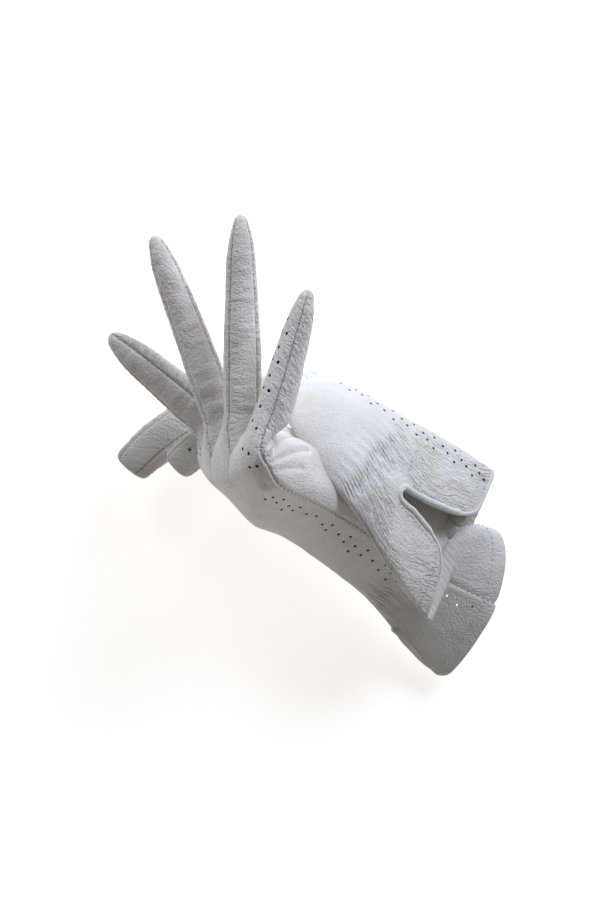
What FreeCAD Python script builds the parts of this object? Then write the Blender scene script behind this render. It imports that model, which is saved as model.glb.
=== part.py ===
import FreeCAD, Part
import math
import os

# A pair of ladies' leather golf gloves laid down together: the left glove is tucked under the
# fanned fingers of the right one.  Both gloves lie flat at the cuff and stand on the thumb-side
# edge at the knuckles, so the little finger is the top one of each stack.
# Millimetres, +Z up.  Layout points are shifted by ORIGIN so that the frame's origin is the
# middle of the footprint, on the table.

Vec = FreeCAD.Vector

ORIGIN = Vec(4.383, -2.525, 0.2)

LEATHER = 1.0          # panel thickness, seam allowance included
THREAD_RADIUS = 0.35
LINING_GAP = 0.1       # room between a panel and what is sewn inside it
TAPE_THICKNESS = 0.7
ELASTIC_WIDTH = 8.0
BINDING_RADIUS = 0.9
SPANS = 3              # sections interpolated between two stations of a hand
FINGER_SECTIONS = 7
ARC_POINTS = 5         # points that shape one panel's arc
MOST_INSET = 0.4       # a panel's inside never shrinks below this share of its outside

# Angles round a section: 0 is the little-finger (ulnar) edge, 90 the middle of the palm,
# 180 the thumb (radial) edge and 270 the middle of the back.
ULNAR, PALM, RADIAL, BACK = 0.0, 90.0, 180.0, 270.0

# A hand's stations, cuff first: centre, half vector to the ulnar edge, half vector to the palm.
RIGHT_HAND = [
    ((65.5, -61.5, 7.0), (12.5, 0.5, 5.2), (7.0, 31.0, -2.2)),
    ((51.0, -51.5, 10.5), (7.0, 0.0, 6.4), (9.5, 25.0, -2.0)),
    ((36.0, -41.0, 17.0), (2.0, 0.0, 11.5), (11.0, 16.5, -1.0)),
    ((16.6, -30.6, 28.0), (0.0, 0.0, 16.5), (9.0, 12.3, 0.0)),
    ((2.2, -21.4, 41.0), (-1.0, 0.5, 23.0), (8.6, 11.4, 0.0)),
    ((-8.2, -13.6, 51.0), (0.8, 0.7, 27.0), (8.8, 11.8, 0.0)),
    ((-20.2, -4.6, 56.0), (9.0, -0.3, 27.0), (7.4, 9.6, 0.0)),
]
LEFT_HAND = [
    ((62.5, -36.1, 22.2), (-14.6, -28.4, 12.6), (-1.7, -1.2, -5.0)),
    ((46.0, -20.0, 31.3), (-12.5, -24.5, 17.0), (-3.0, -2.4, -5.0)),
    ((30.3, -4.7, 37.0), (-9.5, -19.0, 19.0), (-3.8, -3.5, -5.3)),
    ((13.2, 12.4, 30.0), (-6.5, -11.9, 15.0), (-1.4, -6.7, -5.9)),
    ((4.5, 21.0, 14.9), (-1.0, -2.0, 13.4), (-1.0, -8.5, -1.0)),
]

# A finger: base centre on its knuckle axis, heading at the base and how far it turns to the tip
# (degrees, seen from above), length along it, half width, half height.
RIGHT_FINGERS = {
    "index": ((-29.5, 7.0, 36.2), 141.0, -1.0, 55.0, 6.9, 6.3),
    "middle": ((-26.5, 5.3, 49.6), 109.5, 2.0, 78.5, 6.7, 6.3),
    "ring": ((-21.0, 5.0, 63.0), 90.5, 1.0, 79.0, 6.8, 6.3),
    "little": ((-12.1, 5.2, 76.4), 73.5, 3.0, 52.5, 6.6, 6.3),
}
LEFT_FINGERS = {
    "index": ((-4.5, 22.6, 3.4), 186.0, 35.0, 57.0, 7.8, 3.2),
    "middle": ((-5.0, 22.2, 10.5), 184.0, 38.0, 65.5, 8.0, 3.2),
    "ring": ((-5.5, 21.5, 17.5), 184.0, 41.0, 70.0, 8.2, 3.3),
    "little": ((-5.8, 19.6, 24.8), 202.0, 22.0, 52.0, 7.8, 3.5),
}
THUMBS = {
    "right": ((20.0, -34.5, 4.8), 148.0, 0.0, 45.0, 7.5, 4.1),
    "left": ((51.7, -21.4, 5.1), 141.0, 0.0, 54.5, 7.2, 4.4),
}
# A finger's size as a share of its base, at each share of its length.
ROUND_TAPER = [(0.0, 1.0), (0.35, 0.97), (0.7, 0.87), (0.88, 0.68), (0.97, 0.4), (1.0, 0.2)]
FLAT_TAPER = [(0.0, 1.0), (0.35, 1.0), (0.7, 0.97), (0.88, 0.88), (0.96, 0.66), (1.0, 0.35)]

# Where each finger's seams run: the edges of its ulnar and radial side panels (fourchettes).
ULNAR_SIDE = (-50.0, 55.0)
RADIAL_SIDE = (130.0, 230.0)
HAS_ULNAR_SIDE = ("index", "middle", "ring")
HAS_RADIAL_SIDE = ("middle", "ring", "little")

VENT_LENGTH = 29.0     # the V-shaped opening in the back of the cuff
VENT_WIDTH = 15.0
VENT_TIP_WIDTH = 2.0
VENT_TIP_ANGLE = {"right": BACK, "left": 285.0}   # the left glove is rolled a little
ELASTIC_FROM_CUFF = 43.0
ELASTIC_ARC = (212.0, 328.0)
HEM_WIDTH = 10.0


class Section:
    """One closed cross-section: a centre and the two half axes of its ellipse."""

    def __init__(self, centre, to_ulnar, to_palm):
        self.centre = Vec(centre)
        self.to_ulnar = Vec(to_ulnar)
        self.to_palm = Vec(to_palm)

    def point(self, angle, inset=0.0):
        """The point at that angle, inset below the outer surface (negative is proud of it)."""
        ulnar = self.to_ulnar * max(1.0 - inset / self.to_ulnar.Length, MOST_INSET)
        palm = self.to_palm * max(1.0 - inset / self.to_palm.Length, MOST_INSET)
        turn = math.radians(angle)
        return self.centre + ulnar * math.cos(turn) + palm * math.sin(turn)

    def blended(self, other, share):
        def mix(a, b):
            return a + (b - a) * share
        return Section(mix(self.centre, other.centre), mix(self.to_ulnar, other.to_ulnar),
                       mix(self.to_palm, other.to_palm))


def curve_point(a, b, c, d, t):
    """Catmull-Rom point between b and c."""
    return (b * 2 + (c - a) * t + (a * 2 - b * 5 + c * 4 - d) * t * t
            + (b * 3 - a - c * 3 + d) * t * t * t) * 0.5


def hand_sections(stations):
    """Smooth sections through a hand's stations, cuff first."""
    given = [Section(*s) for s in stations]
    padded = [given[0]] + given + [given[-1]]
    made = []
    for i in range(len(given) - 1):
        four = padded[i:i + 4]
        for k in range(SPANS):
            t = k / SPANS
            made.append(Section(curve_point(*[s.centre for s in four], t),
                                curve_point(*[s.to_ulnar for s in four], t),
                                curve_point(*[s.to_palm for s in four], t)))
    made.append(given[-1])
    return made


def size_at(share, table):
    """A finger's size at that share of its length, as a share of its base."""
    for (s0, w0), (s1, w1) in zip(table, table[1:]):
        if share <= s1:
            return w0 + (w1 - w0) * (share - s0) / (s1 - s0)
    return table[-1][1]


def finger_sections(finger, palm_turn, table):
    """Sections along a finger whose path is an arc seen from above."""
    base, heading, curl, length, half_width, half_height = finger
    shares = [k / (FINGER_SECTIONS - 3) * 0.88 for k in range(FINGER_SECTIONS - 2)] + [0.96, 1.0]
    point = Vec(*base)
    made = []
    before = 0.0
    for share in shares:
        middle = math.radians(heading + curl * (share + before) / 2)
        step = length * (share - before)
        point = point + Vec(math.cos(middle), math.sin(middle), 0) * step
        way = math.radians(heading + curl * share)
        to_palm = Vec(math.sin(way), -math.cos(way), 0) * palm_turn
        size = size_at(share, table)
        made.append(Section(point, Vec(0, 0, half_height * size), to_palm * half_width * size))
        before = share
    return made


def panel_wire(section, start, end, outer, inner):
    """The outline of a panel's cross-section, between two angles and two depths."""
    angles = [start + (end - start) * k / (ARC_POINTS - 1) for k in range(ARC_POINTS)]
    outside = Part.BSplineCurve()
    outside.interpolate([section.point(a, outer) for a in angles])
    inside = Part.BSplineCurve()
    inside.interpolate([section.point(a, inner) for a in reversed(angles)])
    first = Part.LineSegment(section.point(end, outer), section.point(end, inner))
    last = Part.LineSegment(section.point(start, inner), section.point(start, outer))
    return Part.Wire([outside.toShape(), first.toShape(), inside.toShape(), last.toShape()])


def panel(sections, start, end, outer=0.0, inner=LEATHER):
    """A curved sheet of leather along the sections, between two angles."""
    wires = [panel_wire(s, start, end, outer, inner) for s in sections]
    return Part.makeLoft(wires, True, True)


def tube(points, radius):
    """A round cord through the points, straight from one to the next."""
    pieces = []
    for a, b in zip(points, points[1:]):
        pieces.append(Part.makeCylinder(radius, (b - a).Length, a, b - a))
    for joint in points[1:-1]:
        pieces.append(Part.makeSphere(radius, joint))
    return pieces[0].fuse(pieces[1:]).removeSplitter()


def along(sections, share):
    """The section at that share of the way along."""
    at = share * (len(sections) - 1)
    index = min(int(at), len(sections) - 2)
    return sections[index].blended(sections[index + 1], at - index)


def line_length(points):
    return sum((b - a).Length for a, b in zip(points, points[1:]))


def share_at(sections, distance):
    """The share of the way along at that distance from the cuff, measured on the back."""
    back = [s.point(BACK) for s in sections]
    gone = 0.0
    for i in range(len(back) - 1):
        step = (back[i + 1] - back[i]).Length
        if gone + step >= distance:
            return (i + (distance - gone) / step) / (len(back) - 1)
        gone += step
    return 1.0


def vent_cutter(sections, tip_angle):
    """The wedge that opens the back of the cuff."""
    cuff = sections[0]
    tip = along(sections, share_at(sections, VENT_LENGTH))
    mouth_centre = cuff.point(BACK)
    tip_centre = tip.point(tip_angle)
    way = (mouth_centre - tip_centre).normalize()
    across = (cuff.to_ulnar - way * cuff.to_ulnar.dot(way)).normalize()
    out = across.cross(way)
    beyond = mouth_centre + way * 6.0
    corners = [
        tip_centre - across * VENT_TIP_WIDTH / 2,
        tip_centre + across * VENT_TIP_WIDTH / 2,
        mouth_centre + across * VENT_WIDTH / 2,
        beyond + across * VENT_WIDTH / 2,
        beyond - across * VENT_WIDTH / 2,
        mouth_centre - across * VENT_WIDTH / 2,
    ]
    depth = min(7.0, cuff.to_palm.Length)
    outline = Part.makePolygon([c - out * depth for c in corners] + [corners[0] - out * depth])
    return Part.Face(outline).extrude(out * (2 * depth))


def vent_edges(sections, tip_angle):
    """Two rows of points just outside the back, one up each side of the vent."""
    share = share_at(sections, VENT_LENGTH)
    rows = []
    for sign in (-1, 1):
        row = []
        for k in range(4):
            t = k / 3
            section = along(sections, share * t)
            half = (VENT_WIDTH + (VENT_TIP_WIDTH - VENT_WIDTH) * t) / 2 + BINDING_RADIUS * 0.5
            angle = BACK + (tip_angle - BACK) * t
            angle += sign * math.degrees(half / section.to_ulnar.Length)
            row.append(section.point(angle, -BINDING_RADIUS - 0.05))
        rows.append(row)
    return rows


def glove_hand(sections, tip_angle):
    """The nodes of one hand: two main panels and what is sewn to them."""
    hem_share = share_at(sections, HEM_WIDTH)
    hem = [along(sections, hem_share * k / 2) for k in range(3)]
    near = share_at(sections, ELASTIC_FROM_CUFF - ELASTIC_WIDTH / 2)
    far = share_at(sections, ELASTIC_FROM_CUFF + ELASTIC_WIDTH / 2)
    band = [along(sections, near + (far - near) * k / 2) for k in range(3)]
    cutter = vent_cutter(sections, tip_angle)
    low, high = vent_edges(sections, tip_angle)
    ulnar_line = [s.point(ULNAR, -THREAD_RADIUS * 1.2) for s in sections]
    tape_out = LEATHER + LINING_GAP
    tape_in = tape_out + TAPE_THICKNESS
    return {
        "back_panel": panel(sections, RADIAL, RADIAL + 180.0).cut(cutter),
        "palm_panel": panel(sections, ULNAR, RADIAL),
        "palm_hem_tape": panel(hem, 8.0, 172.0, tape_out, tape_in),
        "back_hem_tape": panel(hem, 188.0, 352.0, tape_out, tape_in).cut(cutter),
        "wrist_elastic": panel(band, *ELASTIC_ARC, tape_out, tape_in),
        "vent_binding": tube(low + list(reversed(high)), BINDING_RADIUS),
        "side_seam_thread": tube(ulnar_line, THREAD_RADIUS),
    }


def glove_finger(name, sections):
    """The nodes of one finger: back and palm strips, and the side panels between fingers."""
    ulnar_edge, radial_edge = (0.0, 0.0), (180.0, 180.0)
    made = {}
    if name in HAS_ULNAR_SIDE:
        ulnar_edge = ULNAR_SIDE
        made[f"{name}_ulnar_fourchette"] = panel(sections, *ULNAR_SIDE)
    if name in HAS_RADIAL_SIDE:
        radial_edge = RADIAL_SIDE
        made[f"{name}_radial_fourchette"] = panel(sections, *RADIAL_SIDE)
    made[f"{name}_palm"] = panel(sections, ulnar_edge[1], radial_edge[0])
    made[f"{name}_back"] = panel(sections, radial_edge[1], 360.0 + ulnar_edge[0])
    return made


def glove_thumb(sections):
    """The nodes of a thumb: two halves sewn along both edges."""
    return {
        "thumb_palm": panel(sections, ULNAR, RADIAL),
        "thumb_back": panel(sections, RADIAL, RADIAL + 180.0),
    }


def glove(side, hand, fingers, table, palm_turn):
    """Every node of one glove, by name."""
    made = glove_hand(hand_sections(hand), VENT_TIP_ANGLE[side])
    for name, finger in fingers.items():
        made.update(glove_finger(name, finger_sections(finger, palm_turn, table)))
    made.update(glove_thumb(finger_sections(THUMBS[side], palm_turn, ROUND_TAPER)))
    return {f"{side}_{name}": shape for name, shape in made.items()}


nodes = glove("right", RIGHT_HAND, RIGHT_FINGERS, ROUND_TAPER, 1)
nodes.update(glove("left", LEFT_HAND, LEFT_FINGERS, FLAT_TAPER, -1))

os.makedirs("parts", exist_ok=True)
low = Vec(1e9, 1e9, 1e9)
high = Vec(-1e9, -1e9, -1e9)
for name, shape in sorted(nodes.items()):
    shape.translate(ORIGIN * -1)
    shape.exportStep(f"parts/{name}.step")
    box = shape.BoundBox
    low = Vec(min(low.x, box.XMin), min(low.y, box.YMin), min(low.z, box.ZMin))
    high = Vec(max(high.x, box.XMax), max(high.y, box.YMax), max(high.z, box.ZMax))
    print(f"{name:32s} {shape.ShapeType:9s} solids {len(shape.Solids)} "
          f"valid {shape.isValid()} volume {shape.Volume:9.1f}")
print("low", low, "high", high)
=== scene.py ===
import math

import bpy
import numpy as np
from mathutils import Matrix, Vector


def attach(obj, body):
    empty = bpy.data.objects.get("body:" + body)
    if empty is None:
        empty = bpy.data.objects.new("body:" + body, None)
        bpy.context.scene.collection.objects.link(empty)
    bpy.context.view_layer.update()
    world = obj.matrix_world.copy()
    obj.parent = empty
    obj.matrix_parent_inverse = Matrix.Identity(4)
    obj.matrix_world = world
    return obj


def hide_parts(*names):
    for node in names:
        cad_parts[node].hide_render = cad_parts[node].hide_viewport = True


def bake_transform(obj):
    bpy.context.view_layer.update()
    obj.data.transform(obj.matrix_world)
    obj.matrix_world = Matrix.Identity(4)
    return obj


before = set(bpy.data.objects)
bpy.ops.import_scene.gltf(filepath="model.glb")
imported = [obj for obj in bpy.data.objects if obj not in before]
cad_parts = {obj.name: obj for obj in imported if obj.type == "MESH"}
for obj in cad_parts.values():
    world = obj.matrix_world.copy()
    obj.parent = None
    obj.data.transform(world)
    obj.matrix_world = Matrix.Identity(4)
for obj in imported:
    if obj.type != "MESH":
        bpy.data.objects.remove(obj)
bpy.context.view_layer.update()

# A pair of white leather golf gloves: a right glove with fanned fingers, folded round a left one.
# Shapes are worked out in millimetres, in the layout that the CAD part uses before its origin is
# moved, and become metres in the frame when a mesh is made.

ORIGIN = np.array([4.383, -2.525, 0.2])

LEATHER = 0.8            # thickness of the leather
SEAM_DEPTH = 0.75        # how far a panel's edge rolls in at a seam
SEAM_ROLL = 1.5          # how wide that roll is
HOLE_RADIUS = 0.6
HOLE_PITCH = 5.2         # from one pair of perforations to the next
ROWS_A_STATION = 24      # rows of a hand panel between two stations

# Hand stations, close to the CAD part's: centre, half vector to the ulnar (little-finger) edge, half
# vector to the palm, and how square the section is on its back and on its palm side (2 is round).
RIGHT_HAND = [
    ((65.0, -61.5, 6.8), (12.2, 0.8, 10.0), (7.0, 31.0, 0.4), 1.35, 2.6),
    ((51.0, -51.5, 11.0), (7.0, 0.0, 9.3), (9.5, 25.0, 0.4), 1.3, 2.2),
    ((36.0, -41.0, 17.4), (2.0, 0.0, 12.0), (11.0, 16.5, 0.0), 1.25, 2.0),
    ((16.6, -30.6, 28.0), (2.6, 3.4, 16.5), (9.0, 12.3, 0.0), 1.2, 1.9),
    ((2.2, -21.4, 41.0), (1.2, 3.4, 23.0), (8.6, 11.4, 0.0), 1.18, 1.9),
    ((-8.5, -14.1, 51.0), (1.6, 1.9, 27.0), (9.3, 12.6, 0.0), 1.22, 1.9),
    ((-20.5, -5.1, 56.0), (9.3, 0.2, 27.0), (7.6, 10.1, 0.0), 1.6, 1.9),
]
LEFT_HAND = [
    ((62.5, -36.1, 22.2), (-14.6, -28.4, 12.6), (-1.7, -1.2, -5.0), 2.0, 2.0),
    ((45.8, -20.5, 31.6), (-12.3, -24.0, 16.7), (-3.0, -2.4, -5.0), 2.0, 2.0),
    ((30.1, -5.1, 37.4), (-9.3, -18.6, 18.6), (-3.8, -3.5, -5.3), 2.0, 2.0),
    ((11.4, 11.1, 30.8), (-8.1, -12.8, 15.2), (-1.4, -6.7, -5.9), 2.0, 2.0),
    ((2.3, 20.4, 16.6), (-7.3, -7.2, 17.0), (-1.0, -7.0, -2.0), 2.0, 2.0),
]

# Fingers: base, heading and curl in degrees, length, half width, half height.
RIGHT_FINGERS = {
    "index": ((-28.9, 7.9, 36.2), 141.0, -1.0, 56.0, 8.1, 6.3),
    "middle": ((-26.5, 5.3, 49.6), 109.5, 2.0, 78.5, 6.7, 6.3),
    "ring": ((-20.5, 5.0, 63.0), 90.0, 1.0, 79.0, 6.8, 6.3),
    "little": ((-11.6, 5.2, 76.4), 72.6, 2.5, 52.5, 6.7, 6.3),
}
LEFT_FINGERS = {
    "index": ((-4.5, 22.6, 3.4), 183.0, 42.0, 58.0, 7.8, 3.0),
    "middle": ((-5.0, 22.2, 10.5), 181.0, 47.0, 66.5, 8.0, 3.1),
    "ring": ((-5.5, 21.5, 17.5), 180.0, 51.0, 71.0, 8.4, 3.2),
    "little": ((-5.8, 20.3, 24.8), 202.0, 21.0, 51.5, 7.1, 3.4),
}
THUMBS = {
    "right": ((20.0, -34.5, 4.8), 148.0, 0.0, 45.0, 7.5, 4.1),
    "left": ((51.7, -21.4, 5.1), 141.0, 0.0, 54.5, 7.2, 4.4),
}
NAMES = ("index", "middle", "ring", "little")

# Angles round the hand's section that each finger takes on the back and on the palm.
BACK_LANES = {"index": (180, 240), "middle": (240, 270), "ring": (270, 300), "little": (300, 360)}
PALM_LANES = {"index": (120, 180), "middle": (90, 120), "ring": (60, 90), "little": (0, 60)}
LANE_COLUMNS = {"index": 30, "middle": 26, "ring": 26, "little": 30}
# Angles round each finger where its seams run.
ULNAR_SEAMS = {"index": (-68, 20), "middle": (-56, 58), "ring": (-44, 56), "little": (0, 0)}
RADIAL_SEAMS = {"index": (180, 180), "middle": (130, 230), "ring": (130, 230), "little": (130, 230)}

# Finger size at distances from the tip, as a share of its full size.
POINTED = ([0, 0.5, 1.2, 2.4, 4.5, 9.3, 14.6, 20, 31, 41, 52],
           [0, 0.19, 0.3, 0.4, 0.5, 0.665, 0.765, 0.82, 0.9, 0.965, 1.0])
BLUNT = ([0, 0.3, 0.8, 1.6, 3.0, 6.0, 10.0, 20.0], [0, 0.5, 0.7, 0.84, 0.92, 0.97, 0.99, 1.0])

CROTCH = 9.0             # from the hand's end to where the fingers part
LEAD = 10.5              # from the hand's end to a finger's base
MORPH = 18.0             # over which the hand's section becomes the finger's
THUMB_LEAD = 14.0        # of the thumb's length inside the hand
SIDE_COLUMNS = 26        # of a side strip's grid
TAPE_THICKNESS = 0.5

SIDES = {
    "right": dict(stations=RIGHT_HAND, fingers=RIGHT_FINGERS, tip=POINTED, turn=1, seed=11,
                  vent_angle=270.0, mouth_angle=246.0, vent_length=30.0, vent_half=3.2, ulnar_gap=0.0,
                  corners=(5.0, 5.0), corner_sweep=(1.3, 1.3), flap_setback=(0.0, 1.5),
                  palm_beyond=2.0, elastic=41.0, gathered=(12.0, 26.0)),
    "left": dict(stations=LEFT_HAND, fingers=LEFT_FINGERS, tip=BLUNT, turn=-1, seed=47,
                 vent_angle=287.0, mouth_angle=270.0, vent_length=38.0, vent_half=6.9, ulnar_gap=-2.6,
                 corners=(7.5, 12.0), corner_sweep=(1.25, 1.0), flap_setback=(0.0, 5.5),
                 palm_beyond=3.5, elastic=49.3, gathered=(0.0, 53.0)),
}
VENT_ROUND = 3.0         # radius of the vent's closed end


# ---------------------------------------------------------------- small maths

def smooth(x):
    x = np.clip(x, 0.0, 1.0)
    return x * x * (3 - 2 * x)


def unit(v):
    return v / np.maximum(np.linalg.norm(v, axis=-1, keepdims=True), 1e-9)


def lattice(i, j, k, seed):
    n = (i * 73856093) ^ (j * 19349663) ^ (k * 83492791) ^ (seed * 2654435761)
    n = (n ^ (n >> 13)) * 1274126177 & 0x7FFFFFFF
    n = (n ^ (n >> 15)) * 40503 & 0x7FFFFFFF
    return (n & 0xFFFF) / 32767.5 - 1.0


def noise(p, seed=0):
    """Smooth noise in -1..1 at points p."""
    p = np.asarray(p, float)
    base = np.floor(p).astype(np.int64)
    f = p - base
    f = f * f * (3 - 2 * f)
    total = 0.0
    for dx in (0, 1):
        for dy in (0, 1):
            for dz in (0, 1):
                weight = ((f[..., 0] if dx else 1 - f[..., 0])
                          * (f[..., 1] if dy else 1 - f[..., 1])
                          * (f[..., 2] if dz else 1 - f[..., 2]))
                total = total + weight * lattice(base[..., 0] + dx, base[..., 1] + dy,
                                                 base[..., 2] + dz, seed)
    return total


def stretched(x, y, a, b, seed):
    """Noise over a panel's own two measures, a long and b wide."""
    return noise(np.stack([x / a, y / b, np.full_like(x, seed * 0.37)], -1), seed)


def grid_normals(p):
    du = np.gradient(p, axis=0)
    dv = np.gradient(p, axis=1)
    return unit(np.cross(du, dv))


# ---------------------------------------------------------------- sections

def station_arrays(stations):
    rows = np.array([list(c) + list(h) + list(t) + [pb, pp] for c, h, t, pb, pp in stations], float)
    first = 2 * rows[0] - rows[1]
    last = 2 * rows[-1] - rows[-2]
    return np.vstack([first, rows, last])


def hand_values(table, s):
    """Catmull-Rom values at station positions s, straight on beyond both ends."""
    count = len(table) - 2
    inside = np.clip(s, 0, count - 1)
    i = np.minimum(inside.astype(int), count - 2)
    t = (inside - i)[..., None]
    a, b, c, d = table[i], table[i + 1], table[i + 2], table[i + 3]
    value = 0.5 * (2 * b + (c - a) * t + (2 * a - 5 * b + 4 * c - d) * t * t
                   + (3 * b - a - 3 * c + d) * t ** 3)
    slope = 0.5 * ((c - a) + 2 * (2 * a - 5 * b + 4 * c - d) * t + 3 * (3 * b - a - 3 * c + d) * t * t)
    return value + slope * (s - inside)[..., None]


def hand_point(table, s, v, pushed=False):
    """Points on the hand at station positions s and angles v in degrees."""
    value = hand_values(table, s)
    centre, to_ulnar, to_palm = value[..., 0:3], value[..., 3:6], value[..., 6:9]
    turn = np.radians(v)
    c, n = np.cos(turn), np.sin(turn)
    power = 2.0 / np.where(n < 0, value[..., 9], value[..., 10])
    ridge = 0.05
    x = c * ((c * c + ridge) / (1 + ridge)) ** ((power - 1) / 2)
    y = np.sign(n) * np.abs(n) ** power
    place = centre + to_ulnar * x[..., None] + to_palm * y[..., None]
    if not pushed:
        return place
    along = smooth((s - 3.7) / 1.2) * (1 - 0.25 * smooth((s - 5.6) / 1.0))
    amount = 4.5 * np.exp(-((v - 96) / 36) ** 2) + 14.5 * np.exp(-((v - 145) / 22) ** 2)
    amount = amount * along * smooth(v / 20.0) * smooth((180 - v) / 20.0)
    return place + unit(to_palm) * amount[..., None]


def finger_line(finger, q, lead):
    """Centres and headings of a finger at distances q from the hand's end."""
    base, heading, curl, length, _, _ = finger
    fine = np.linspace(-30.0, lead + length, 600)
    way = np.radians(heading + curl * np.clip((fine - lead) / length, 0, 1))
    mid = (way[1:] + way[:-1]) / 2
    step = np.diff(fine)
    x = np.concatenate([[0], np.cumsum(np.cos(mid) * step)])
    y = np.concatenate([[0], np.cumsum(np.sin(mid) * step)])
    x += base[0] - np.interp(lead, fine, x)
    y += base[1] - np.interp(lead, fine, y)
    centre = np.stack([np.interp(q, fine, x), np.interp(q, fine, y), np.full(np.shape(q), base[2])], -1)
    return centre, np.interp(q, fine, way)


def tip_size(distance, table):
    return np.interp(np.sqrt(np.maximum(distance, 0)), np.sqrt(np.array(table[0])), table[1])


def finger_point(finger, q, a, turn, table, lead=LEAD):
    """Points on a finger at distances q and angles a in degrees.

    The left glove's fingers roll over as they lie down, until their backs face up.
    """
    if turn < 0 and table is BLUNT:
        a = a + 76.0 * smooth(q / 30.0)
    centre, way = finger_line(finger, q, lead)
    length, half_width, half_height = finger[3:6]
    size = tip_size(lead + length - q, table)[..., None]
    to_palm = np.stack([np.sin(way), -np.cos(way), np.zeros_like(way)], -1) * turn
    up = np.array([0.0, 0.0, 1.0])
    angle = np.radians(a)[..., None]
    return (centre + up * np.cos(angle) * half_height * size
            + to_palm * np.sin(angle) * half_width * size)


# ---------------------------------------------------------------- meshes

def make_mesh(name, verts, faces, slots=None):
    mesh = bpy.data.meshes.new(name)
    placed = (np.asarray(verts) - ORIGIN) * 0.001
    placed[:, 2] = np.maximum(placed[:, 2], 0.0)
    mesh.from_pydata(placed, [], faces)
    mesh.polygons.foreach_set("use_smooth", np.ones(len(mesh.polygons), bool))
    if slots is not None:
        mesh.polygons.foreach_set("material_index", np.asarray(slots, np.int32))
    mesh.update()
    obj = bpy.data.objects.new(name, mesh)
    bpy.context.scene.collection.objects.link(obj)
    return obj


class Shell:
    """A leather panel with thickness, made of grids and rings of points."""

    def __init__(self):
        self.verts = []
        self.faces = []
        self.slots = []
        self.rim_normals = {}
        # the first of these values is painted shade: how much the material darkens each point
        self.values = {"painted_shade": [], "crease": [], "shirr": [], "panel": []}

    def add(self, points, painted_shade=0.0, panel=(0.0, 0.0, 0.0), crease=0.0, shirr=0.0):
        shape = points.shape[:-1]
        start = sum(len(v) for v in self.verts)
        self.verts.append(points.reshape(-1, 3))
        for name, value in (("painted_shade", painted_shade), ("crease", crease), ("shirr", shirr)):
            self.values[name].append(np.broadcast_to(value, shape).reshape(-1))
        self.values["panel"].append(np.broadcast_to(panel, shape + (3,)).reshape(-1, 3))
        return np.arange(start, start + int(np.prod(shape))).reshape(shape)

    def face(self, corners, slot, flip):
        corners = [int(i) for i in corners]
        self.faces.append(tuple(corners[::-1] if flip else corners))
        self.slots.append(slot)

    def block(self, index, skip, slot, flip):
        rows, cols = index.shape
        for k in range(rows - 1):
            for j in range(cols - 1):
                if (k, j) not in skip:
                    corners = (index[k, j], index[k + 1, j], index[k + 1, j + 1], index[k, j + 1])
                    self.face(corners, slot, flip)

    def strip(self, first, second, slot, flip=False):
        for (a, b), (c, d) in zip(zip(first, first[1:]), zip(second, second[1:])):
            self.face((a, b, d, c), slot, flip)

    def match_row(self, row, normals):
        """Sets the normals of a row that meets another panel."""
        for i, normal in zip(row, normals):
            self.rim_normals[int(i)] = normal

    def build(self, name, materials):
        verts = np.vstack(self.verts)
        obj = make_mesh(name, verts, self.faces, self.slots)
        for material in materials:
            obj.data.materials.append(material)
        for key, values in self.values.items():
            kind, field = ("FLOAT_VECTOR", "vector") if key == "panel" else ("FLOAT", "value")
            made = obj.data.attributes.new(key, kind, "POINT")
            made.data.foreach_set(field, np.concatenate(values).astype(np.float32).reshape(-1))
        if self.rim_normals:
            normals = np.zeros((len(verts), 3))
            for i, normal in self.rim_normals.items():
                normals[i] = normal
            obj.data.normals_split_custom_set_from_vertices([tuple(n) for n in normals])
        return obj


def facing_out(points, normals, centres):
    return 1 if np.sum((points - centres) * normals) > 0 else -1


def free_holes(holes, shape):
    """The holes that lie inside the grid and clear of each other, and the cells they cut away."""
    cut = set()
    kept = []
    for k, j in holes:
        inside = 2 <= k <= shape[0] - 3 and 3 <= j <= shape[1] - 4
        near = {(a, b) for a in range(k - 2, k + 2) for b in range(j - 3, j + 3)}
        if inside and not near & cut:
            cut |= {(a, b) for a in range(k - 1, k + 1) for b in range(j - 2, j + 2)}
            kept.append((k, j))
    return kept, cut


def hole_loop(k, j):
    """The grid places round a hole's cut, going round once."""
    rows = range(k - 1, k + 1)
    cols = range(j - 2, j + 2)
    loop = [(k - 1, b) for b in cols] + [(a, j + 2) for a in rows]
    loop += [(k + 1, b + 1) for b in reversed(cols)] + [(a + 1, j - 2) for a in reversed(rows)]
    return tuple(np.array(loop).T)


def punch(shell, p, n, grids, place, thickness, flip, look):
    """Joins a round hole through the leather to the cut round a grid place."""
    outer, inner = grids
    loop = hole_loop(*place)
    away = p[loop] - p[place]
    rise = (away @ n[place])[:, None]
    ring = p[place] + unit(away - rise * n[place]) * HOLE_RADIUS + (0.4 * rise - 0.06) * n[place]
    top = shell.add(ring, 0.0, **{key: value[place] for key, value in look.items()})
    # the hole's wall and its bottom get painted shade, 0.85 and 1.0, darkest at the bottom
    wall = shell.add(ring, 0.85)
    low = shell.add(ring - n[place] * thickness, 1.0)
    for first, second, slot in ((outer[loop], top, 0), (wall, low, 0), (low, inner[loop], 1)):
        shell.strip(np.append(first, first[0]), np.append(second, second[0]), slot, flip)


def panel_shell(shell, p, n, painted_shade=0.0, holes=(), rims="udlr", thickness=LEATHER, look=None):
    """Adds an outer grid p with outward normals n, its inner copy, its holes and its rims."""
    look = look or {}
    flip = np.sum(grid_normals(p) * n) < 0
    # both grids carry the painted shade given as the fourth argument
    outer = shell.add(p, painted_shade, **look)
    inner = shell.add(p - n * thickness, painted_shade)
    kept, cut = free_holes(holes, p.shape)
    shell.block(outer, cut, 0, flip)
    shell.block(inner, cut, 1, not flip)
    for place in kept:
        punch(shell, p, n, (outer, inner), place, thickness, not flip, look)
    edges = {"u": np.s_[0], "d": np.s_[-1], "l": np.s_[:, 0], "r": np.s_[:, -1]}
    for rim, edge in edges.items():
        if rim in rims:
            shell.strip(outer[edge], inner[edge], 0, flip if rim in "ur" else not flip)
    return outer, inner


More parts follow.
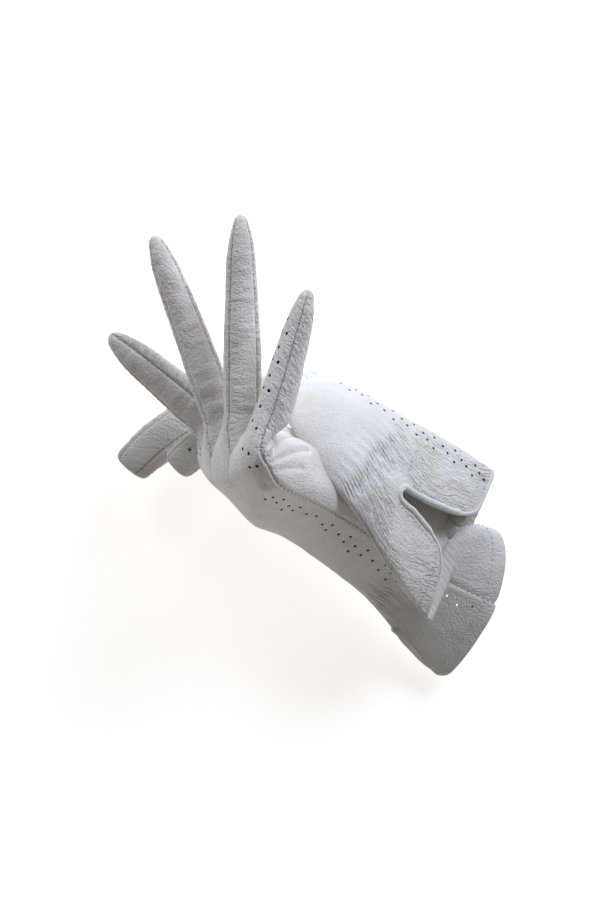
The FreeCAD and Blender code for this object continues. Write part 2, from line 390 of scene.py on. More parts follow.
def lengths(p, axis):
    step = np.linalg.norm(np.diff(p, axis=axis), axis=-1)
    zero = np.zeros_like(np.take(step, [0], axis=axis))
    return np.concatenate([zero, np.cumsum(step, axis=axis)], axis=axis)


def roll(distance, depth=SEAM_DEPTH, width=SEAM_ROLL):
    """How far a panel has rolled in, at that distance from its sewn edge."""
    return depth * (1 - np.clip(distance / width, 0, 1)) ** 2.2


def tube_mesh(path, radius, sides, up=(0.0, 0.0, 1.0)):
    """A swept cord along path, with flat ends."""
    path = np.asarray(path, float)
    count = len(path)
    tangent = unit(np.gradient(path, axis=0))
    side = unit(np.cross(tangent, up))
    lift = unit(np.cross(side, tangent))
    radius = np.broadcast_to(radius, (count,))
    angle = (np.arange(sides) * 2 * math.pi / sides)[None, :, None]
    ring = np.cos(angle) * side[:, None] + np.sin(angle) * lift[:, None]
    verts = (path[:, None] + ring * radius[:, None, None]).reshape(-1, 3)
    faces = []
    for i in range(count - 1):
        for k in range(sides):
            a = i * sides + k
            b = i * sides + (k + 1) % sides
            faces.append((a, b, b + sides, a + sides))
    faces.append(tuple(range(sides))[::-1])
    faces.append(tuple((count - 1) * sides + k for k in range(sides)))
    return verts, faces


def join(parts):
    verts, faces = [], []
    start = 0
    for v, f in parts:
        verts.append(v)
        faces += [tuple(int(i) + start for i in face) for face in f]
        start += len(v)
    return np.vstack(verts), faces


def run_along(path):
    """Distance along a path at each of its points."""
    return np.concatenate([[0], np.cumsum(np.linalg.norm(np.diff(path, axis=0), axis=1))])


def at_distance(where, run, values):
    return np.stack([np.interp(where, run, values[:, i]) for i in range(3)], -1)


def resample(path, pitch):
    run = run_along(path)
    count = max(int(run[-1] / pitch), 1)
    return at_distance(np.linspace(0, run[-1], count + 1), run, path)


STITCH_PLACE = np.array([-1, -0.7, -0.3, 0.3, 0.7, 1.0])
STITCH_HEIGHT = np.array([-0.35, 0.5, 1.0, 1.0, 0.5, -0.35])
STITCH_THICKNESS = np.array([0.35, 0.9, 1.0, 1.0, 0.9, 0.35])
STITCH_SHARE = 0.62      # of the pitch that thread covers
SEAM_END = 0.6           # bare length at each end of a row of stitches


def stitches(path, normals, pitch=2.3, radius=0.17, lift=0.12):
    """A row of thread stitches lying along a path on a surface."""
    run = run_along(path)
    parts = []
    at = SEAM_END
    while at < run[-1] - SEAM_END:
        points = at_distance(at + STITCH_PLACE * pitch * STITCH_SHARE / 2, run, path)
        normal = unit(at_distance(at, run, normals))
        points = points + normal * (lift * STITCH_HEIGHT)[:, None]
        parts.append(tube_mesh(points, radius * STITCH_THICKNESS, 6, normal))
        at += pitch
    return parts


def thread_piece(name, parts, material):
    piece = make_mesh(name, *join(parts))
    piece.data.materials.append(material)
    return piece


# ---------------------------------------------------------------- materials

def add_node(tree, kind, values=(), links=(), **settings):
    """Adds a shader node with its settings, its constant inputs and its incoming links."""
    node = tree.nodes.new("ShaderNode" + kind)
    for name, value in settings.items():
        setattr(node, name, value)
    for name, value in dict(values).items():
        node.inputs[name].default_value = value
    for name, output in dict(links).items():
        tree.links.new(output, node.inputs[name])
    return node


def add_bump(tree, height, distance, strength, under=None):
    """A bump on top of the one under it. Its strength is a number or a node's output."""
    values = {"Distance": distance}
    links = {"Height": height}
    if isinstance(strength, float):
        values["Strength"] = strength
    else:
        links["Strength"] = strength
    if under is not None:
        links["Normal"] = under.outputs["Normal"]
    return add_node(tree, "Bump", values, links)


def add_ramp(tree, source, places, low, high):
    ramp = add_node(tree, "ValToRGB", links={"Fac": source})
    for end, place, color in zip(ramp.color_ramp.elements, places, (low, high)):
        end.position = place
        end.color = (*color, 1)
    return ramp.outputs["Color"]


def add_mix(tree, share, first, second):
    mix = add_node(tree, "Mix", {}, {"Factor": share, "A": first}, data_type="RGBA")
    mix.inputs["B"].default_value = (*second, 1)
    return mix.outputs["Result"]


def attribute(tree, name, output="Fac"):
    return add_node(tree, "Attribute", attribute_name=name).outputs[output]


def leather_relief(tree, surface, grain, gathers):
    """Bumps of leather: folds, pebbles, pores, crackle, long creases, and gathers where it is shirred."""
    pebble = add_node(tree, "TexVoronoi", {"Scale": 1500.0 * grain}, surface)
    pores = add_node(tree, "TexNoise", {"Scale": 900.0 * grain, "Detail": 6.0}, surface)
    folds = add_node(tree, "TexNoise", {"Scale": 260.0, "Detail": 5.0, "Distortion": 1.2}, surface)
    crackle = add_node(tree, "TexVoronoi", {"Scale": 620.0 * grain}, surface, feature="DISTANCE_TO_EDGE")
    furrow = add_node(tree, "MapRange", {"From Max": 0.22}, {"Value": crackle.outputs["Distance"]})
    relief = add_bump(tree, folds.outputs["Fac"], 0.00022, 0.7)
    relief = add_bump(tree, pebble.outputs["Distance"], 0.00016, 0.9, relief)
    relief = add_bump(tree, pores.outputs["Fac"], 0.0001, 0.35, relief)
    relief = add_bump(tree, furrow.outputs["Result"], 0.0002, 0.45, relief)

    panel = attribute(tree, "panel", "Vector")
    stretch = add_node(tree, "VectorMath", {1: (0.11, 0.55, 1.0)}, {0: panel}, operation="MULTIPLY")
    lines = add_node(tree, "TexNoise", {"Scale": 1.0, "Detail": 3.0, "Distortion": 0.5},
                     {"Vector": stretch.outputs["Vector"]})
    centred = add_node(tree, "Math", {1: 0.5}, {0: lines.outputs["Fac"]}, operation="SUBTRACT")
    size = add_node(tree, "Math", {}, {0: centred.outputs["Value"]}, operation="ABSOLUTE")
    creases = add_node(tree, "MapRange", {"From Max": 0.085}, {"Value": size.outputs["Value"]},
                       interpolation_type="SMOOTHSTEP")
    relief = add_bump(tree, creases.outputs["Result"], 0.0005, attribute(tree, "crease"), relief)

    wave = add_node(tree, "TexWave", {"Scale": 0.165, "Distortion": 1.8, "Detail": 2.0, "Detail Scale": 0.8},
                    {"Vector": panel}, bands_direction="Y")
    return add_bump(tree, wave.outputs["Fac"], 0.0006, gathers, relief), wave


def leather_material(name, color, grain=1.0, rough=0.5, stain=0.0):
    """White leather: pebble grain, fine creases, soft mottling, and painted shade in its hollows and in the
    grooves of its gathers.
    """
    mat = bpy.data.materials.new(name)
    mat.use_nodes = True
    tree = mat.node_tree
    shader = tree.nodes["Principled BSDF"]
    surface = {"Vector": add_node(tree, "TexCoord").outputs["Object"]}
    gathers = attribute(tree, "shirr")
    relief, wave = leather_relief(tree, surface, grain, gathers)
    tree.links.new(relief.outputs["Normal"], shader.inputs["Normal"])

    mottle = add_node(tree, "TexNoise", {"Scale": 55.0, "Detail": 4.0}, surface).outputs["Fac"]
    blush = add_node(tree, "TexNoise", {"Scale": 38.0, "Detail": 2.0}, surface).outputs["Fac"]
    base = np.array(color)
    tone = add_ramp(tree, mottle, (0.32, 0.68), base * (0.9, 0.89, 0.87),
                    np.minimum(base * (1.04, 1.04, 1.05), 1))
    flushed = add_ramp(tree, blush, (0.52, 0.72), (0, 0, 0), (stain, stain, stain))
    skin = add_mix(tree, flushed, tone, (0.72, 0.56, 0.53))
    # painted shade in the grooves of the shirred gathers
    groove = add_node(tree, "MapRange", {"From Min": 0.1, "From Max": 0.0, "To Max": 0.5},
                      {"Value": wave.outputs["Fac"]})
    gather_shade = add_node(tree, "Math", {}, {0: groove.outputs["Result"], 1: gathers}, operation="MULTIPLY")
    shade_mask = add_node(tree, "Math", {}, {0: attribute(tree, "painted_shade"), 1: gather_shade.outputs["Value"]},
                     operation="MAXIMUM")
    # painted shade: hollows, hole walls and gather grooves darken towards this brown-grey
    shaded_skin = add_mix(tree, shade_mask.outputs["Value"], skin, (0.22, 0.195, 0.175))
    tree.links.new(shaded_skin, shader.inputs["Base Color"])

    gloss = add_node(tree, "MapRange", {"From Min": 0.3, "From Max": 0.7, "To Min": rough - 0.06,
                                        "To Max": rough + 0.1}, {"Value": mottle})
    tree.links.new(gloss.outputs["Result"], shader.inputs["Roughness"])
    shader.inputs["Specular IOR Level"].default_value = 0.4
    return mat


def plain_weave(name, color, rough, scale):
    """Thread, tape or elastic: a fine twist over a mottled colour."""
    mat = bpy.data.materials.new(name)
    mat.use_nodes = True
    tree = mat.node_tree
    shader = tree.nodes["Principled BSDF"]
    surface = {"Vector": add_node(tree, "TexCoord").outputs["Object"]}
    grain = add_node(tree, "TexNoise", {"Scale": scale, "Detail": 5.0}, surface).outputs["Fac"]
    tone = add_ramp(tree, grain, (0.0, 1.0), np.array(color) * 0.75, color)
    tree.links.new(tone, shader.inputs["Base Color"])
    tree.links.new(add_bump(tree, grain, 0.0002, 0.6).outputs["Normal"], shader.inputs["Normal"])
    shader.inputs["Roughness"].default_value = rough
    return mat


BACK_LEATHER = leather_material("back_leather", (0.80, 0.785, 0.765))
PALM_LEATHER = leather_material("palm_leather", (0.79, 0.77, 0.75), grain=0.9)
SIDE_LEATHER = leather_material("side_leather", (0.765, 0.74, 0.72), grain=0.85, rough=0.55, stain=0.5)
BINDING = leather_material("binding_leather", (0.78, 0.785, 0.79), grain=1.3, rough=0.48)
SUEDE = leather_material("suede_inside", (0.88, 0.86, 0.83), grain=1.6, rough=0.9)
TAPE = plain_weave("hem_tape", (0.74, 0.72, 0.69), 0.85, 1600.0)
THREAD = plain_weave("thread", (0.5, 0.48, 0.45), 0.7, 3000.0)
HEM_THREAD = plain_weave("hem_thread", (0.72, 0.71, 0.69), 0.7, 3000.0)
ELASTIC = plain_weave("elastic", (0.8, 0.79, 0.77), 0.8, 1200.0)


# ---------------------------------------------------------------- the hand of a glove

def column_angles(lanes, names):
    angles = [float(lanes[names[0]][0])]
    for name in names:
        a, b = lanes[name]
        count = LANE_COLUMNS[name]
        angles += [a + (b - a) * (k + 1) / count for k in range(count)]
    return np.array(angles)


def round_end(x, half):
    """Half the width of the vent's round tip at distance x from it, and the tip's radius."""
    radius = min(VENT_ROUND, half * 0.5)
    share = np.clip(x / radius, 0, 1)
    return radius * np.sqrt(share * (2 - share)), radius


def vent_gap(x, length, half):
    """Half the vent's width at distance x from its tip towards the cuff."""
    end, radius = round_end(x, half)
    opening = np.clip((x - radius) / (length - radius), 0, 1.3)
    return end + (half - radius) * opening ** 0.95


def vent_edges(data, s, along, tip_row):
    """Angles of the vent's radial and ulnar edges round the hand. They meet beyond its tip."""
    from_tip = along[tip_row] - along
    past = np.maximum(from_tip, 0)
    apex = data["vent_angle"] - 270.0
    mouth = data["mouth_angle"] - 270.0
    centre = 270.0 + np.where(from_tip > 0, apex + (mouth - apex) * from_tip / along[tip_row],
                              apex * (1 - smooth(-from_tip / 60.0)))
    reach = np.linalg.norm(hand_values(data["table"], s)[:, 3:6], axis=1)
    gap = np.degrees(vent_gap(past, data["vent_length"], data["vent_half"]) / reach)
    gap[tip_row:] = 0
    ulnar = centre + gap
    if data["ulnar_gap"]:
        wide = round_end(past, data["vent_half"])[0] + data["ulnar_gap"] * smooth(past / 14.0)
        ulnar = np.where(from_tip > 0, 270.0 + apex + np.degrees(wide / reach), ulnar)
    return centre - gap, ulnar


def corner_setback(distance, corner, sweep):
    """How far a flap's cuff edge is cut back at a distance from its corner."""
    if sweep > 1:
        return corner * np.clip(1 - distance / (corner * sweep), 0, 1) ** 2
    cut = np.sqrt(np.maximum(corner ** 2 - (corner - distance) ** 2, 0))
    return np.where(distance < corner, corner - cut, 0)


def back_grids(data, rows):
    """The back panel's two halves, radial and ulnar, which join beyond the vent's tip."""
    table = data["table"]
    base = column_angles(BACK_LANES, NAMES)
    middle = int(np.argmin(np.abs(base - 270.0)))
    s = np.linspace(0, 1, rows) * data["end"]
    along = run_along(hand_point(table, s, np.full(rows, 270.0)))
    tip_row = int(np.argmin(np.abs(along - data["vent_length"])))
    radial, ulnar = vent_edges(data, s, along, tip_row)
    angles = (180 + (radial - 180)[:, None] * ((base[:middle + 1] - 180) / 90)[None],
              ulnar[:, None] + (360 - ulnar)[:, None] * ((base[middle:] - 270) / 90)[None])
    unit_length = along[20] / s[20]
    fade = np.clip(1 - along / 36.0, 0, 1) ** 1.5
    grids = []
    for half, v in enumerate(angles):
        ss = np.repeat(s[:, None], v.shape[1], 1)
        across = lengths(hand_point(table, ss, v)[:1], 1)[0]
        distance = across if half else across[-1] - across
        setback = corner_setback(distance, data["corners"][half], data["corner_sweep"][half])
        setback = setback + data["flap_setback"][half] * (1 - distance / distance.max()) ** 0.7
        ss = ss + (setback / unit_length)[None, :] * fade[:, None]
        grids.append(hand_point(table, ss, v))
    return grids, tip_row, along


def palm_grid(side, rows):
    data = SIDES[side]
    table = data["table"]
    v = column_angles(PALM_LANES, NAMES[::-1])
    s = np.linspace(0, data["end"], rows)
    ss = np.repeat(s[:, None], len(v), 1)
    centres = hand_values(table, s[:2])[:, :3]
    unit_length = np.linalg.norm(centres[1] - centres[0]) / s[1]
    bulge = np.sin(np.radians(v)) ** 0.5
    ss = ss - data["palm_beyond"] / unit_length * bulge * (np.clip(1 - s / s[16], 0, 1) ** 1.5)[:, None]
    return hand_point(table, ss, np.broadcast_to(v, ss.shape), side == "right")


def hand_centres(table, end, rows):
    return hand_values(table, np.linspace(0, end, rows))[:, 0:3]


# ---------------------------------------------------------------- surface relief

def soft_relief(p, seed, large=0.45, small=0.14):
    """The unevenness of soft leather at two scales."""
    return large * noise(p / 13.0, seed) + small * noise(p / 4.2, seed + 1)


def crinkle(p, seed, amount=0.12, size=1.7):
    """Fine ridged creases."""
    a = noise(p / size, seed)
    b = noise(p / (size * 0.55), seed + 3)
    return -amount * ((1 - np.abs(a)) ** 4 + 0.5 * (1 - np.abs(b)) ** 4)


def valley(p, points, depth, width):
    """A crease that follows a line of points in space."""
    line = np.asarray(points, float)
    best = np.full(p.shape[:-1], 1e9)
    for a, b in zip(line, line[1:]):
        ab = b - a
        t = np.clip(((p - a) @ ab) / (ab @ ab), 0, 1)
        best = np.minimum(best, np.linalg.norm(p - (a + t[..., None] * ab), axis=-1))
    near = best / width
    return -depth * np.exp(-near ** 2) + 0.22 * depth * np.exp(-((near - 2.0) / 1.3) ** 2)


# Folds of the right glove where its little finger stands up from the palm: station and angle of
# each point, depth, half width.
FOLDS = [
    ([(6.15, 12), (6.0, 36), (5.8, 62), (5.35, 96)], 1.0, 1.1),
    ([(5.95, 6), (5.62, 30), (5.3, 52), (4.95, 70)], 0.8, 1.2),
    ([(5.55, 8), (5.2, 24), (4.75, 40)], 0.5, 1.4),
    ([(6.05, 352), (5.75, 343), (5.45, 338)], 0.35, 1.8),
]
CREASES = {"right": [], "left": []}


def lay_folds():
    table = SIDES["right"]["table"]
    for places, depth, reach in FOLDS:
        line = [hand_point(table, np.array([a]), np.array([float(b)]), b < 180)[0] for a, b in places]
        CREASES["right"].append((line, depth, reach))


def from_elastic(side, x, y, width):
    """Distance past the shirring line on the back, and how strongly it gathers there."""
    first, last = SIDES[side]["gathered"]
    climb = 8.5 * np.exp(-y / 9.0) if side == "left" else 0.0
    reach = smooth((y - first) / 3.0) * smooth((last - y) / 5.0)
    return x - SIDES[side]["elastic"] - climb, reach


def hand_relief(side, part, x, y, width, p):
    """Relief of a hand panel: x from the cuff, y from the ulnar edge."""
    seed = SIDES[side]["seed"]
    d = soft_relief(p, seed)
    near_wrist = smooth((56 - x) / 16)
    bend = y / width * 60.0 + 6.0 * np.sin(x / 19.0) + 1.8 * stretched(x, y, 12.0, 9.0, seed + 6)
    folds = np.abs(stretched(x, bend, 16.0, 4.2, seed + 7))
    d = d - 0.16 * (1 - folds) ** 5 * near_wrist * (1.0 if side == "left" else 0.4)
    if part == "back":
        # puckers fanning out of the elastic's shirring
        away, reach = from_elastic(side, x, y, width)
        fan = np.exp(-((np.abs(away) - 5.0) / 5.5) ** 2)
        wander = 1.5 * stretched(x, y, 9.0, 9.0, seed + 13)
        d = d + reach * fan * 0.13 * np.sin(2 * np.pi * (y / width * 60.0 + wander) / 4.6)
        d = d - reach * 0.1 * np.exp(-(away / 4.0) ** 2)
    for points, depth, reach in CREASES[side]:
        d = d + valley(p, points, depth, reach)
    return d


def hand_texture(side, part, x, y, width):
    """Where a hand panel's fine creases and shirring lie, and the measures they follow."""
    seed = SIDES[side]["seed"]
    near_wrist = smooth((60 - x) / 18)
    bend = y / width * 60.0 + 7.0 * np.sin((x - 6.0) / 17.0)
    panel = np.stack([x, bend, np.full_like(x, seed * 1.7)], -1)
    patches = 0.35 + 0.65 * smooth(0.5 + stretched(x, y, 12.0, 12.0, seed + 15))
    if part == "palm":
        return dict(panel=panel, crease=0.35 * patches)
    amount = {"left": 0.95, "right": 0.4}[side]
    crease = amount * (0.18 + 0.82 * near_wrist) * patches
    away, reach = from_elastic(side, x, y, width)
    wander = 0.8 * stretched(x, y, 7.0, 7.0, seed + 9) + 1.6 * stretched(x, y, 30.0, 1.7, seed + 10)
    shirr = reach * np.exp(-((away + wander) / 2.9) ** 2)
    return dict(panel=panel, crease=crease, shirr=shirr)


def finger_texture(kind, name, side, x, y, width):
    """The same for a finger panel, whose creases run across it, slanting from the seam."""
    seed = SIDES[side]["seed"] + NAMES.index(name)
    edge = np.minimum(y, width - y)
    slant = 0.0
    crease = 0.5 + 0.0 * x
    if kind == "palm":
        slant = 0.6 * (y if name == "little" else width - y)
        crease = 0.45 + 0.5 * np.exp(-edge / 4.0)
    if kind == "back":
        slant = -0.6 * (width - y)
        crease = 0.2 + 0.5 * np.exp(-(width - y) / 3.5)
    if "fourchette" in kind:
        crease = 0.25 + 0.3 * smooth((40 - x) / 20)
    panel = np.stack([y * 1.6, x + slant, np.full_like(x, seed * 3.1)], -1)
    return dict(panel=panel, crease=np.clip(crease, 0, 1))


def finger_relief(kind, name, side, x, y, width, p):
    """Relief of a finger panel: x from the hand's end, y from its first edge."""
    seed = SIDES[side]["seed"] + 17 * NAMES.index(name) + len(kind)
    edge = np.minimum(y, width - y)
    inside = smooth(edge / 1.6)
    d = soft_relief(p, seed, 0.25, 0.1)
    if kind in ("ulnar_fourchette", "radial_fourchette"):
        folds = stretched(x, y, 2.1, 8.0, seed)
        wide = stretched(x, y, 5.2, 16.0, seed + 2)
        near_base = 0.6 + 0.8 * smooth((42 - x) / 30)
        d = d + near_base * (0.3 * folds + 0.34 * wide) - 0.22 * (1 - np.abs(folds)) ** 5
    elif kind == "palm":
        slant = x + 0.55 * (y if name == "little" else width - y)
        ripple = np.sin(2 * np.pi * (slant + 0.9 * stretched(x, y, 4.0, 4.0, seed)) / 2.0)
        near = np.exp(-edge / 3.2)
        d = d + 0.17 * ripple * near + crinkle(p, seed + 4, 0.14, 1.5)
        d = d + 0.25 * stretched(x, y, 2.6, 7.0, seed + 1) * smooth((34 - x) / 20)
    else:
        slant = x - 0.6 * (width - y)
        ripple = np.sin(2 * np.pi * (slant + 0.9 * stretched(x, y, 5.0, 4.0, seed)) / 2.9)
        d = d + 0.16 * ripple * np.exp(-(width - y) / 3.0) + crinkle(p, seed + 4, 0.07, 2.0)
    for points, depth, reach in CREASES[side]:
        d = d + valley(p, points, depth, reach)
    return d * inside


# ---------------------------------------------------------------- one glove


def perforations(x, y, start, stop, inner):
    """Grid places of the holes, in slanting pairs set in and out by turns: x along, y from the seam."""
    places = []
    at = start
    turn = 0
    while at < stop:
        near = inner + 2.0 * (turn % 2)
        for dx, dy in ((0.0, 0.0), (1.3, 3.5)):
            miss = (x - at - dx) ** 2 + (y - near - dy) ** 2
            k, j = np.unravel_index(np.argmin(miss), miss.shape)
            if miss[k, j] < 1.0:
                places.append((int(k), int(j)))
        at += HOLE_PITCH
        turn += 1
    return places


def relieved(side, part, grid, centres, x, y, width, seam):
    """A hand panel's grid with its relief, and rolled in where the seam is near."""
    n = grid_normals(grid)
    n = n * facing_out(grid, n, centres[:, None])
    d = hand_relief(side, part, x, y, width, grid)
    inward = unit(centres[:, None] - grid)
    return grid + n * (d * smooth(seam / 2.0))[..., None] + inward * roll(seam)[..., None]


def back_panel(side, rows, centres):
    """The back's two halves, with x from the cuff and y from the ulnar edge."""
    grids, tip_row, along = back_grids(SIDES[side], rows)
    across = lengths(np.concatenate([grids[0], grids[1][:, 1:]], axis=1), 1)
    width = across[:, -1:]
    halves = []
    for half, grid in enumerate(grids):
        cols = grid.shape[1]
        y = width - (across[:, -cols:] if half else across[:, :cols])
        x = lengths(grid, 0)
        x = along[-1] - (x[-1:] - x)
        seam = y if half else width - y
        p = relieved(side, "back", grid, centres, x, y, width, seam)
        halves.append(dict(p=p, x=x, y=y, width=width))
    # the halves share their middle column beyond the vent's tip
    first, second = halves[0]["p"], halves[1]["p"]
    shared = 0.5 * (first[tip_row:, -1] + second[tip_row:, 0])
    first[tip_row:, -1] = shared
    second[tip_row:, 0] = shared
    return halves, tip_row


def palm_panel(side, rows, centres):
    grid = palm_grid(side, rows)
    x = lengths(grid, 0)
    y = lengths(grid, 1)
    width = y[:, -1:]
    p = relieved(side, "palm", grid, centres, x, y, width, np.minimum(y, width - y))
    return dict(p=p, x=x, y=y, width=width)


def make_glove(side):
    data = SIDES[side]
    data["end"] = len(data["stations"]) - 1.0
    data["table"] = station_arrays(data["stations"])
    if side == "right":
        lay_folds()
    rows = int(ROWS_A_STATION * data["end"])
    centres = hand_centres(data["table"], data["end"], rows)
    halves, tip_row = back_panel(side, rows, centres)
    palm = palm_panel(side, rows, centres)
    strips = finger_strips(side, halves, palm["p"])
    edges = build_back(side, halves, tip_row, centres, strips)
    n = build_palm(side, palm, centres, strips)
    build_binding(side, edges, tip_row)
    build_hand_threads(side, edges, tip_row, palm["p"], n)
    build_hems(side, edges, halves, palm, n)
    build_elastic(side, edges, halves)
    build_fingers(side, strips)
    build_thumb(side)


def lane(kind, name):
    """The columns of the hand's last row that a finger's strip takes, and their angles."""
    names, lanes = (NAMES, BACK_LANES) if kind == "back" else (NAMES[::-1], PALM_LANES)
    start = sum(LANE_COLUMNS[other] for other in names[:names.index(name)])
    columns = slice(start, start + LANE_COLUMNS[name] + 1)
    return columns, column_angles(lanes, names)[columns]


def tapered_rows(total, count, tip_count):
    """Distances along a finger, closer together towards its tip."""
    near_tip = total - 6 * (1 - np.linspace(0, 1, tip_count)[1:]) ** 1.6
    q = np.concatenate([np.linspace(0, total - 6, count), near_tip])
    q[-1] = total - 0.01
    return q


def raw_strips(side):
    """Each finger's back and palm grids, which turn from the hand's section into the finger's."""
    data = SIDES[side]
    table, end = data["table"], data["end"]
    ends = hand_values(table, np.array([end, end + 0.5]))[:, :3]
    speed = np.linalg.norm(ends[1] - ends[0]) * 2
    raw = {}
    for name in NAMES:
        finger = data["fingers"][name]
        total = LEAD + finger[3]
        q = tapered_rows(total, int(total / 0.8), 16)
        blend = smooth((q - 3.0) / (MORPH - 2.0))[:, None, None]
        around = {"back": (RADIAL_SEAMS[name][1], 360 + ULNAR_SEAMS[name][0]),
                  "palm": (ULNAR_SEAMS[name][1], RADIAL_SEAMS[name][0])}
        for kind, (first, last) in around.items():
            v = lane(kind, name)[1]
            w = (v - v[0]) / (v[-1] - v[0])
            qq, vv = np.meshgrid(q, v, indexing="ij")
            hand = hand_point(table, end + qq / speed, vv, side == "right" and kind == "palm")
            a = np.broadcast_to(first + (last - first) * w, qq.shape)
            tube = finger_point(finger, qq, a, data["turn"], data["tip"])
            raw[name, kind] = (1 - blend) * hand + blend * tube
        raw[name, "q"] = q
    return raw


def pull_edge(grid, edge, shift):
    """Moves one edge of a strip's first rows by shift, and the columns beside it ever less."""
    weight = np.linspace(0, 1, grid.shape[1])
    weight = weight if edge == -1 else weight[::-1]
    grid[:len(shift)] += shift[:, None] * weight[None, :, None] ** 1.5


def join_neighbours(raw):
    """Keeps neighbouring fingers in one piece up to the crotch."""
    for kind, edge_a, edge_b in (("back", -1, 0), ("palm", 0, -1)):
        for low, high in zip(NAMES, NAMES[1:]):
            first, second = raw[low, kind], raw[high, kind]
            qa, qb = raw[low, "q"], raw[high, "q"]
            count_b = int(np.sum(qb < CROTCH + 8))
            count = min(int(np.sum(qa < CROTCH + 8)), count_b)
            qa = qa[:count]
            on_b = at_distance(qa, qb, second[:, edge_b])
            both = (first[:count, edge_a] + on_b) / 2
            joined = 1 - smooth((qa - CROTCH) / 6.0)[:, None]
            shift_a = (both - first[:count, edge_a]) * joined
            shift_b = (both - on_b) * joined
            columns = [np.interp(qb[:count_b], qa, shift_b[:, i], right=0) for i in range(3)]
            pull_edge(first, edge_a, shift_a)
            pull_edge(second, edge_b, np.stack(columns, -1))


def with_sides(data, name, raw):
    """One finger's grids with their rows: the back, the palm, and its side strips between them."""
    q, back, palm = raw[name, "q"], raw[name, "back"], raw[name, "palm"]
    start = int(np.sum(q < CROTCH - 2.5))
    made = {"back": (back, q), "palm": (palm, q)}
    sides = {"ulnar_fourchette": (back[start:, -1], palm[start:, 0], *ULNAR_SEAMS[name]),
             "radial_fourchette": (palm[start:, -1], back[start:, 0], *RADIAL_SEAMS[name])}
    for kind, (edge_a, edge_b, first, second) in sides.items():
        if first == second:
            continue
        w = np.linspace(0, 1, SIDE_COLUMNS)
        qq, ww = np.meshgrid(q[start:], w, indexing="ij")
        a = first + (second - first) * ww
        tube = finger_point(data["fingers"][name], qq, a, data["turn"], data["tip"])
        off_a = (edge_a - tube[:, 0])[:, None]
        off_b = (edge_b - tube[:, -1])[:, None]
        made[kind] = (tube + off_a * (1 - w)[None, :, None] + off_b * w[None, :, None], q[start:])
    return made


def finger_strips(side, halves, palm):
    """Every finger's panels as grids that start on the hand's last row."""
    data = SIDES[side]
    hand_rows = {"back": [np.concatenate([halves[0]["p"][k], halves[1]["p"][k][1:]]) for k in (-1, -2)],
                 "palm": [palm[-1], palm[-2]]}
    raw = raw_strips(side)
    join_neighbours(raw)
    strips = {}
    for name in NAMES:
        both = np.concatenate([raw[name, "back"], raw[name, "palm"]], axis=1)
        for kind, (grid, q) in with_sides(data, name, raw).items():
            middle = np.mean(both[-len(q):], axis=1)
            n = grid_normals(grid)
            n = n * facing_out(grid[8:], n[8:], middle[8:, None])
            x = np.repeat(q[:, None], grid.shape[1], 1)
            across = lengths(grid, 1)
            width = np.maximum(across[:, -1:], 0.01)
            d = finger_relief(kind, name, side, x, across, width, grid)
            d = d * smooth((q[-1] - q) / 3.0)[:, None]
            inward = unit(middle[:, None] - grid)
            small = np.minimum(1.0, tip_size(q[-1] - q, data["tip"]) * 1.3)[:, None]
            open_a, open_b = seam_depth(name, kind, q)
            depth = (roll(across) * open_a[:, None] + roll(width - across) * open_b[:, None]) * small
            p = grid + n * (d * small)[..., None] + inward * depth[..., None]
            previous = None
            if kind in hand_rows:
                last, previous = [row[lane(kind, name)[0]] for row in hand_rows[kind]]
                p = p + (last - p[0])[None] * (1 - smooth(q / 5.0))[:, None, None]
                p[0] = last
            strips[name, kind] = dict(p=p, n=n, q=q, x=x, y=across, width=width, previous=previous)
    return strips


def seam_depth(name, kind, q):
    """How much of the seam roll each edge of a panel has along q: none where it is still one piece."""
    opening = smooth((q - CROTCH) / 4.0)
    full = np.ones_like(q)
    outer = {"back": ("index", "little"), "palm": ("little", "index")}.get(kind, (None, None))
    return [full if name == edge else opening for edge in outer]


def hollow_shade(p, n, amount=1.6):
    """Painted shade, darker where the surface is hollow: a measure of how far each point lies below its
    neighbours.
    """
    mean = sum(np.roll(p, shift, axis=axis) for axis in (0, 1) for shift in (-2, 2)) / 4
    hollow = np.sum((mean - p) * n, axis=-1)
    hollow[:2] = hollow[2]
    hollow[-2:] = hollow[-3]
    hollow[:, :2] = hollow[:, 2:3]
    hollow[:, -2:] = hollow[:, -3:-2]
    return np.clip(hollow * amount, 0, 0.3)


def next_row(strips, names, kind):
    """The finger strips' second rows in one, which goes on from the hand panel's last row."""
    rows = [strips[name, kind]["p"][1] for name in names]
    return np.concatenate([rows[0]] + [row[1:] for row in rows[1:]])


def panel_normals(grid, beyond, centres):
    """Outward normals of a hand panel that runs on into the row beyond it."""
    n = grid_normals(np.vstack([grid, beyond[None]]))[:-1]
    return n * facing_out(grid, n, centres[:, None])


def on_hand(piece, side, node=None):
    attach(piece, f"{side}_hand")
    if node:
        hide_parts(f"{side}_{node}")


